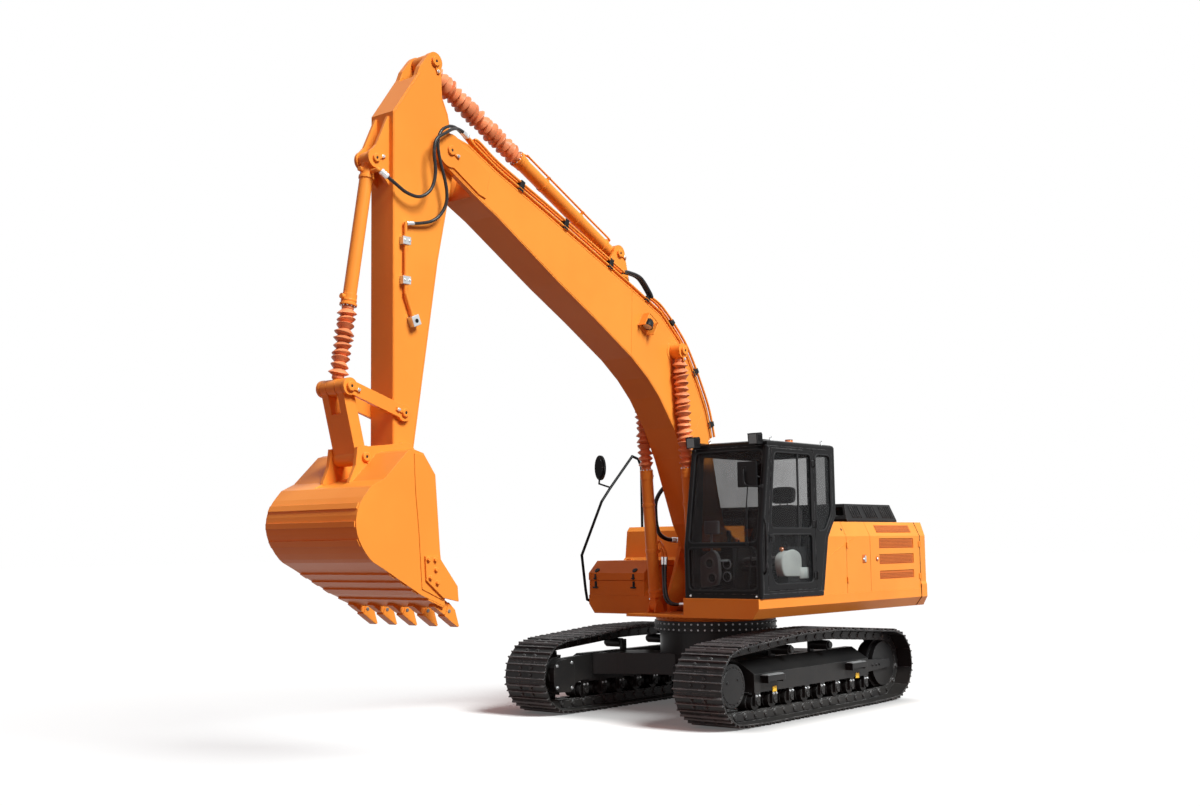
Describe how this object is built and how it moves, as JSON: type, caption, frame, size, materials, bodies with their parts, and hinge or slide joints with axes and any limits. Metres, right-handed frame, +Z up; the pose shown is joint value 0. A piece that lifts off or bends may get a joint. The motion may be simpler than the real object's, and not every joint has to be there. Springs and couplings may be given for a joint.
{
  "type": "crawler excavator",
  "caption": "Tracked digging machine with a swinging house, glazed cab, curved boom, arm and toothed bucket worked by cylinders.",
  "frame": {"origin": "on the ground under the swing axis, midway between the tracks", "axes": "+X towards the boom and bucket, +Y to the driver's left, +Z up"},
  "size_m": [8.914, 2.99, 6.6268],
  "materials": {
    "undercarriage_paint": "satin",
    "orange_paint": "gloss",
    "counterweight_paint": "gloss",
    "engine_alloy": "matte",
    "near_black_paint": "satin",
    "tinted_glass": "gloss",
    "seat_fabric": "matte",
    "grey_plastic": "matte",
    "black_plastic": "matte",
    "steel": "satin",
    "boot_rubber": "matte",
    "hose_rubber": "satin",
    "tooth_iron": "matte"
  },
  "bodies": {
    "undercarriage": {"car_body": "undercarriage_paint", "track_frames": "undercarriage_paint", "track_left": "undercarriage_paint", "track_right": "undercarriage_paint", "sprockets": "undercarriage_paint", "idlers": "undercarriage_paint", "bottom_rollers": "undercarriage_paint", "carrier_rollers": "undercarriage_paint", "slew_ring": "undercarriage_paint"},
    "house": {"revolving_frame": "orange_paint", "counterweight": "counterweight_paint", "engine": "engine_alloy", "house_panels": "orange_paint", "tanks": "orange_paint", "toolbox": "orange_paint", "handrail": "near_black_paint", "cab_base": "near_black_paint", "cab_front": "near_black_paint", "cab_left": "near_black_paint", "cab_right": "near_black_paint", "cab_rear": "near_black_paint", "cab_roof": "near_black_paint", "cab_glass": "tinted_glass", "seat": "seat_fabric", "controls": "grey_plastic", "cab_lamps": "black_plastic"},
    "hood": {"engine_hood": "near_black_paint"},
    "door_left_front": {"left_front_door": "orange_paint"},
    "door_left_rear": {"left_rear_door": "orange_paint"},
    "door_right": {"right_door": "orange_paint"},
    "box_lid": {"toolbox_lid": "orange_paint"},
    "door_cab": {"cab_door": "near_black_paint", "door_glass": "tinted_glass"},
    "boom_body": {"boom": "orange_paint", "boom_pipes": "steel", "boom_hose": "hose_rubber"},
    "boom_cylinder": {"boom_barrels": "orange_paint"},
    "boom_piston": {"boom_rods": "steel", "boom_boots": "boot_rubber"},
    "arm_cylinder": {"arm_barrel": "orange_paint"},
    "arm_piston": {"arm_rod": "steel", "arm_boot": "boot_rubber"},
    "arm_body": {"arm": "orange_paint", "arm_pipe": "steel", "arm_hoses": "hose_rubber"},
    "bucket_cylinder": {"bucket_barrel": "orange_paint"},
    "bucket_piston": {"bucket_rod": "steel", "bucket_boot": "boot_rubber"},
    "rocker": {"rocker_links": "orange_paint"},
    "h_link": {"bucket_link": "orange_paint"},
    "bucket_body": {"bucket": "orange_paint", "bucket_teeth": "tooth_iron"}
  },
  "joints": [
    {"name": "swing", "type": "hinge", "parent": "undercarriage", "child": "house", "pos_m": [0, 0, 1], "axis": [0, 0, 1], "continuous": true},
    {"name": "boom", "type": "hinge", "parent": "house", "child": "boom_body", "pos_m": [0.194, 0, 1.936], "axis": [0, -1, 0], "range_deg": [-72, 22], "deforming": ["boom_hose"]},
    {"name": "boom_cylinder_tilt", "type": "hinge", "parent": "house", "child": "boom_cylinder", "pos_m": [0.77, 0, 1.185], "axis": [0, -1, 0], "range_deg": [-60.64, 18.67]},
    {"name": "boom_piston_slide", "type": "slide", "parent": "boom_cylinder", "child": "boom_piston", "axis": [0.0828, 0, 0.9966], "range_m": [-1.0074, 0.3092], "deforming": ["boom_boots"]},
    {"name": "arm", "type": "hinge", "parent": "boom_body", "child": "arm_body", "pos_m": [4.516, 0, 5.674], "axis": [0, -1, 0], "range_deg": [-27, 90], "deforming": ["arm_hoses"]},
    {"name": "arm_cylinder_tilt", "type": "hinge", "parent": "boom_body", "child": "arm_cylinder", "pos_m": [1.834, 0, 5.102], "axis": [0, -1, 0], "range_deg": [-0.92, 2.59]},
    {"name": "arm_piston_slide", "type": "slide", "parent": "arm_cylinder", "child": "arm_piston", "axis": [0.8918, 0, 0.4524], "range_m": [-1.1757, 0.3541], "deforming": ["arm_boot"]},
    {"name": "bucket", "type": "hinge", "parent": "arm_body", "child": "bucket_body", "pos_m": [5.074, 0, 2.723], "axis": [0, -1, 0], "range_deg": [-115, 50]},
    {"name": "bucket_cylinder_tilt", "type": "hinge", "parent": "arm_body", "child": "bucket_cylinder", "pos_m": [5.348, 0, 5.453], "axis": [0, -1, 0], "range_deg": [-3.54, 1.65]},
    {"name": "bucket_piston_slide", "type": "slide", "parent": "bucket_cylinder", "child": "bucket_piston", "axis": [0.1681, 0, -0.9858], "range_m": [-0.3126, 0.7163], "deforming": ["bucket_boot"]},
    {"name": "rocker_swing", "type": "hinge", "parent": "arm_body", "child": "rocker", "pos_m": [5.076, 0, 3.118], "axis": [0, -1, 0], "range_deg": [-68.74, 30]},
    {"name": "h_link_swing", "type": "hinge", "parent": "bucket_body", "child": "h_link", "pos_m": [5.549, 0, 2.698], "axis": [0, -1, 0], "range_deg": [-34.37, 78.79]},
    {"name": "cab_door_swing", "type": "hinge", "parent": "house", "child": "door_cab", "pos_m": [-0.031, 1.398, 2.1], "axis": [0, 0, 1], "range_deg": [0, 165]},
    {"name": "left_front_door_swing", "type": "hinge", "parent": "house", "child": "door_left_front", "pos_m": [-0.738, 1.379, 1.7], "axis": [0, 0, 1], "range_deg": [-110, 0]},
    {"name": "left_rear_door_swing", "type": "hinge", "parent": "house", "child": "door_left_rear", "pos_m": [-2.57, 1.379, 1.7], "axis": [0, 0, 1], "range_deg": [0, 110]},
    {"name": "right_door_swing", "type": "hinge", "parent": "house", "child": "door_right", "pos_m": [-2.57, -1.379, 1.7], "axis": [0, 0, -1], "range_deg": [0, 110]},
    {"name": "hood_lift", "type": "hinge", "parent": "house", "child": "hood", "pos_m": [-2.56, 0, 2.146], "axis": [0, -1, 0], "range_deg": [0, 60]},
    {"name": "box_lid_lift", "type": "hinge", "parent": "house", "child": "box_lid", "pos_m": [0.086, -0.9, 1.716], "axis": [0, -1, 0], "range_deg": [0, 85]}
  ],
  "couplings": [
    {"joint": "boom_cylinder_tilt", "follows": "boom", "ratio": 0.8395},
    {"joint": "boom_piston_slide", "follows": "boom", "m_per_rad": 0.8001},
    {"joint": "arm_cylinder_tilt", "follows": "arm", "ratio": 0.0266},
    {"joint": "arm_piston_slide", "follows": "arm", "m_per_rad": -0.7472},
    {"joint": "bucket_cylinder_tilt", "follows": "bucket", "ratio": 0.029},
    {"joint": "bucket_piston_slide", "follows": "bucket", "m_per_rad": -0.3559},
    {"joint": "rocker_swing", "follows": "bucket", "ratio": 0.596},
    {"joint": "h_link_swing", "follows": "bucket", "ratio": -0.6834}
  ]
}
